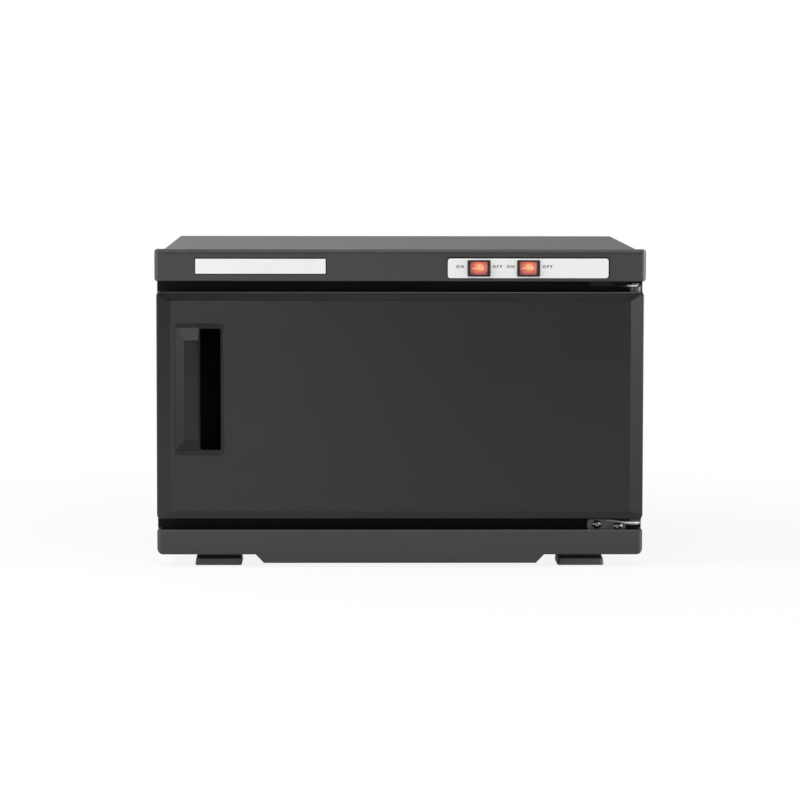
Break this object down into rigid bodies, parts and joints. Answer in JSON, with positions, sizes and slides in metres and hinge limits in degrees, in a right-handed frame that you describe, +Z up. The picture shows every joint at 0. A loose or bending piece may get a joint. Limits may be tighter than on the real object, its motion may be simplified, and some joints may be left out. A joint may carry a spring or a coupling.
{
  "type": "hot towel cabinet",
  "caption": "Countertop hot towel and hot pack warmer: insulated steel cabinet with a swinging door, a heated liner, a pull-out drip tray and lit rocker switches.",
  "frame": {"origin": "middle of the bounding box, on the surface that the four feet stand on", "axes": "+Z up, -Y towards the user (door side), +X to the user's right, the hinge side"},
  "size_m": [0.45, 0.3448, 0.293],
  "materials": {
    "black_powder_coat": "fine satin powder coat on steel sheet",
    "black_frame_plastic": "matt black ABS moulding",
    "grey_fascia_plastic": "satin dark grey ABS moulding",
    "white_plate": "white plastic plate",
    "black_switch_plastic": "black nylon moulding",
    "red_lens": "clear red polycarbonate, lit from inside",
    "charcoal_door_plastic": "fine-textured charcoal ABS moulding",
    "charcoal_handle_plastic": "satin charcoal ABS moulding",
    "liner_metal": "mill-finish aluminium sheet",
    "glass_wool": "glass wool blanket",
    "gasket_rubber": "grey silicone rubber",
    "plated_steel": "zinc-plated steel",
    "white_nylon": "natural nylon moulding",
    "hinge_steel": "black-coated steel with bare cut edges",
    "blackened_screws": "black zinc-plated steel",
    "magnet_ferrite": "sintered ferrite",
    "rack_wire": "chromed steel wire",
    "lamp_glass": "clear quartz glass",
    "lamp_cap_metal": "pressed aluminium",
    "heater_foil": "aluminium foil heater",
    "control_ceramic": "ceramic and plated steel control",
    "ballast_case": "grey painted steel can",
    "wire_cover": "silicone rubber sleeve",
    "contact_brass": "nickel-plated brass",
    "grey_tray_plastic": "satin dark grey ABS moulding",
    "foot_rubber": "black moulded rubber"
  },
  "bodies": {
    "housing": {"outer_wrap": "black_powder_coat", "rear_panel": "black_powder_coat", "base_plate": "black_powder_coat", "front_frame": "black_frame_plastic", "control_fascia": "grey_fascia_plastic", "switch_plate": "white_plate", "name_plate": "white_plate", "heat_switch_body": "black_switch_plastic", "lamp_switch_body": "black_switch_plastic", "lower_hinge": "hinge_steel", "upper_hinge": "hinge_steel", "hinge_pins": "plated_steel", "hinge_washers": "plated_steel", "hinge_screws": "blackened_screws", "catch_case": "white_nylon", "catch_magnet": "magnet_ferrite", "inner_liner": "liner_metal", "wire_rack": "rack_wire", "lamp_tube": "lamp_glass", "lamp_caps": "lamp_cap_metal", "lamp_holders": "white_nylon", "lamp_guard": "liner_metal", "heater_mat": "heater_foil", "thermostat": "control_ceramic", "thermal_fuse": "control_ceramic", "bottom_shield": "plated_steel", "insulation_bottom": "glass_wool", "insulation_top": "glass_wool", "insulation_left": "glass_wool", "insulation_right": "glass_wool", "insulation_back": "glass_wool", "electrics_plate": "plated_steel", "lamp_ballast": "ballast_case", "terminal_block": "white_nylon", "wiring_loom": "wire_cover", "power_inlet": "black_switch_plastic", "inlet_contacts": "contact_brass", "inlet_screws": "blackened_screws", "tray_runner_left": "plated_steel", "tray_runner_right": "plated_steel", "foot_screws": "plated_steel", "rear_screws": "blackened_screws", "side_screws": "blackened_screws", "fascia_screws": "plated_steel", "foot_front_left": "foot_rubber", "foot_front_right": "foot_rubber", "foot_rear_left": "foot_rubber", "foot_rear_right": "foot_rubber"},
    "door": {"door_skin": "charcoal_door_plastic", "door_handle": "charcoal_handle_plastic", "door_lining": "liner_metal", "door_insulation": "glass_wool", "door_gasket": "gasket_rubber", "strike_plate": "plated_steel", "door_bushes": "white_nylon", "door_screws": "plated_steel"},
    "tray": {"drip_tray": "grey_tray_plastic"},
    "heat_switch_rocker": {"heat_rocker": "red_lens"},
    "lamp_switch_rocker": {"lamp_rocker": "red_lens"}
  },
  "joints": [
    {"name": "door_swing", "type": "hinge", "parent": "housing", "child": "door", "pos_m": [0.2156, -0.15385, 0.1495], "axis": [0, 0, 1], "range_deg": [0, 110]},
    {"name": "heat_rocker_tilt", "type": "hinge", "parent": "housing", "child": "heat_switch_rocker", "pos_m": [0.07185, -0.16225, 0.2757], "axis": [0, 0, 1], "range_deg": [0, 20]},
    {"name": "lamp_rocker_tilt", "type": "hinge", "parent": "housing", "child": "lamp_switch_rocker", "pos_m": [0.1172, -0.16225, 0.2757], "axis": [0, 0, 1], "range_deg": [0, 20]},
    {"name": "tray_slide", "type": "slide", "parent": "housing", "child": "tray", "axis": [0, -1, 0], "range_m": [0, 0.12]}
  ]
}
